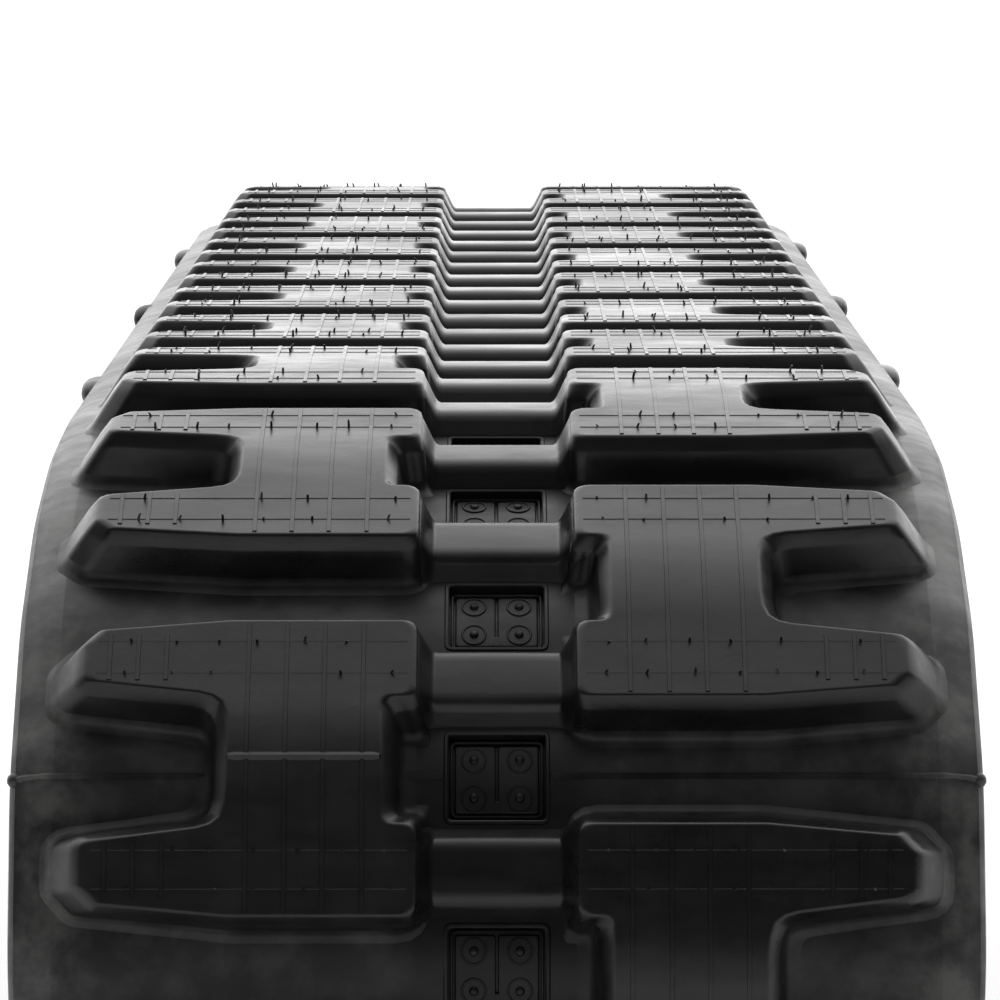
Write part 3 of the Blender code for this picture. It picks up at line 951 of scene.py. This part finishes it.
def fill_piece(rubber, first, last):
    """Every shell of one piece of rubber."""
    start, end = rubber.first_s, rubber.last_s
    low, high = min(start, first * PITCH), end
    spare = {outward: PIVOT_SPARE for _, outward in rubber.open_ends}
    rubber.add_trimmed(belt(start - spare.get(-1, 0.0), end + spare.get(1, 0.0)))
    for boundary in range(first, last + 1):
        open_end = boundary % LINKS == OPEN_PIVOT
        owned = open_end or first * PITCH + CUT < boundary * PITCH < end
        if not owned:
            continue
        keep = rubber.add_trimmed if open_end else rubber.add
        for shell in [tread_block(boundary)] + flash_lines(boundary) + window(boundary):
            keep(shell)
        if not on_the_ground(boundary) and not open_end:
            for shell in vent_hairs(boundary):
                rubber.add(shell)
        if boundary in SEAMS:
            for shell in mould_seam(boundary):
                rubber.add(shell)
    for link in range(first - 1, last + 1):
        if low < (link + 0.5) * PITCH < high:
            rubber.add(centre_bar(link))
    for side, s in side_lobes():
        for turn in (0, -LINKS * PITCH):
            if low < s + turn < high:
                rubber.add(side_lobe(side, s + turn))


def on_the_ground(boundary):
    """Whether a block is on the bottom run or near it, where hairs would be worn or pressed flat."""
    return (boundary + GROUND_MARGIN) % LINKS < RUN_LINKS + 2 * GROUND_MARGIN


def make_piece(name, rubber, materials):
    """An object from the wrapped shells of one piece."""
    mesh = bpy.data.meshes.new(name)
    mesh.from_pydata(rubber.verts, [], rubber.faces)
    for material in materials:
        mesh.materials.append(material)
    mesh.polygons.foreach_set("material_index", rubber.skins_and_painted_light)
    mesh.shade_smooth()
    mesh.set_sharp_from_angle(angle=SMOOTH_ANGLE)
    obj = bpy.data.objects.new(name, mesh)
    bpy.context.scene.collection.objects.link(obj)
    return obj


def join_to_frame(obj, bodies, hinge):
    """Ride one body; a piece across a hinge rides none, its placing baked into its mesh."""
    if hinge is None:
        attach(obj, bodies[0])
    else:
        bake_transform(obj)
    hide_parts(*["rubber_" + body for body in bodies])


def make_rubber(materials):
    """Every piece of rubber. materials are in the order of the tread skin, the groove's painted shade and
    light, and the belt's painted light.
    """
    for name, first, last, bodies, hinge in RUBBER_PIECES:
        rubber = Rubber(*piece_ends(first, last))
        fill_piece(rubber, first, last)
        join_to_frame(make_piece(name, rubber, materials), bodies, hinge)


# Forged edges of the iron cores: the gap closed first, then the bevel
CORE_WELD = 0.00002
CORE_BEVEL, CORE_SEGMENTS, CORE_ANGLE = 0.0018, 3, math.radians(30)


def finish_cad_nodes(iron, cord):
    """The iron cores and cord plies keep their CAD shape, with forged edges on the cores."""
    for name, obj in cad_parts.items():
        if name.startswith("iron_core"):
            dress(obj, iron)
            weld = obj.modifiers.new("weld", "WELD")
            weld.merge_threshold = CORE_WELD
            bevel = obj.modifiers.new("forged_edges", "BEVEL")
            bevel.width = CORE_BEVEL
            bevel.segments = CORE_SEGMENTS
            bevel.limit_method = "ANGLE"
            bevel.angle_limit = CORE_ANGLE
        elif name.startswith("cord_ply"):
            dress(obj, cord)


def dress(obj, material):
    """Give an object one material in place of its own."""
    obj.data.materials.clear()
    obj.data.materials.append(material)


# --- Stage -------------------------------------------------------------------------

# The floor lies below the lug tops by the height of the flash lines on them
FLOOR_HALF, FLOOR_DROP = 40.0, 0.0005

# Glows of the world: direction (x, y), lift in degrees, cosine at the edge, strength there and inside
GLOWS = (
    ((0.0, 1.0), 35, 0.0, 0.03, 2.8),
    ((0.0, -1.0), 22, 0.55, 0.0, 0.06),
    ((0.0, 1.0), 90, 0.40, 0.0, 0.5),
)

# Camera: place, degrees down and to the right, and lens in millimetres
CAMERA_PLACE = (-0.004, -3.146, 0.769)
CAMERA_DOWN, CAMERA_RIGHT = 7.87, 0.14
LENS, SENSOR = 177.6, 36.0


def make_floor():
    """A plain floor far wider than the view."""
    half = FLOOR_HALF
    corners = [(-half, -half, 0), (half, -half, 0), (half, half, 0), (-half, half, 0)]
    mesh = bpy.data.meshes.new("floor")
    mesh.from_pydata(corners, [], [(0, 1, 2, 3)])
    mesh.materials.append(floor_material())
    floor = bpy.data.objects.new("floor", mesh)
    floor.location.z = -FLOOR_DROP
    bpy.context.scene.collection.objects.link(floor)


def glow(tree, direction, lift, edge, low, high):
    """A soft round field of light about the direction (x, y) raised by lift degrees."""
    dot = tree.nodes.new("ShaderNodeVectorMath")
    dot.operation = "DOT_PRODUCT"
    level, up = math.cos(math.radians(lift)), math.sin(math.radians(lift))
    dot.inputs[1].default_value = (direction[0] * level, direction[1] * level, up)
    ramp = tree.nodes.new("ShaderNodeMapRange")
    ramp.interpolation_type = "SMOOTHSTEP"
    set_range(ramp, edge, 1.0, low, high)
    tree.links.new(tree.nodes["coord"].outputs["Generated"], dot.inputs[0])
    tree.links.new(dot.outputs["Value"], ramp.inputs["Value"])
    return ramp.outputs["Result"]


def make_world():
    """Soft studio light: a bright field behind the track, a weaker one overhead, a dim one in front."""
    world = bpy.data.worlds.new("studio")
    bpy.context.scene.world = world
    world.use_nodes = True
    tree = world.node_tree
    tree.nodes.new("ShaderNodeTexCoord").name = "coord"
    total = glow(tree, *GLOWS[0])
    for settings in GLOWS[1:]:
        both = tree.nodes.new("ShaderNodeMath")
        both.operation = "ADD"
        tree.links.new(total, both.inputs[0])
        tree.links.new(glow(tree, *settings), both.inputs[1])
        total = both.outputs["Value"]
    tree.links.new(total, tree.nodes["Background"].inputs["Strength"])
    tree.nodes["Background"].inputs["Color"].default_value = (1.0, 1.0, 1.0, 1.0)


def make_camera():
    """The photograph's view: from the front end, a little above the top run."""
    data = bpy.data.cameras.new("camera")
    data.lens = LENS
    data.sensor_width = SENSOR
    camera = bpy.data.objects.new("camera", data)
    camera.location = CAMERA_PLACE
    camera.rotation_euler = (math.radians(90 - CAMERA_DOWN), 0.0, -math.radians(CAMERA_RIGHT))
    bpy.context.scene.collection.objects.link(camera)
    bpy.context.scene.camera = camera


def main():
    """Build everything around the frame. The Standard view keeps the studio's white as white."""
    bpy.context.scene.view_settings.view_transform = "Standard"
    make_camera()
    make_world()
    make_floor()
    make_rubber((tread_material(), groove_painted_shade_and_light_material(), belt_painted_light_material()))
    finish_cad_nodes(iron_material(), cord_material())


main()
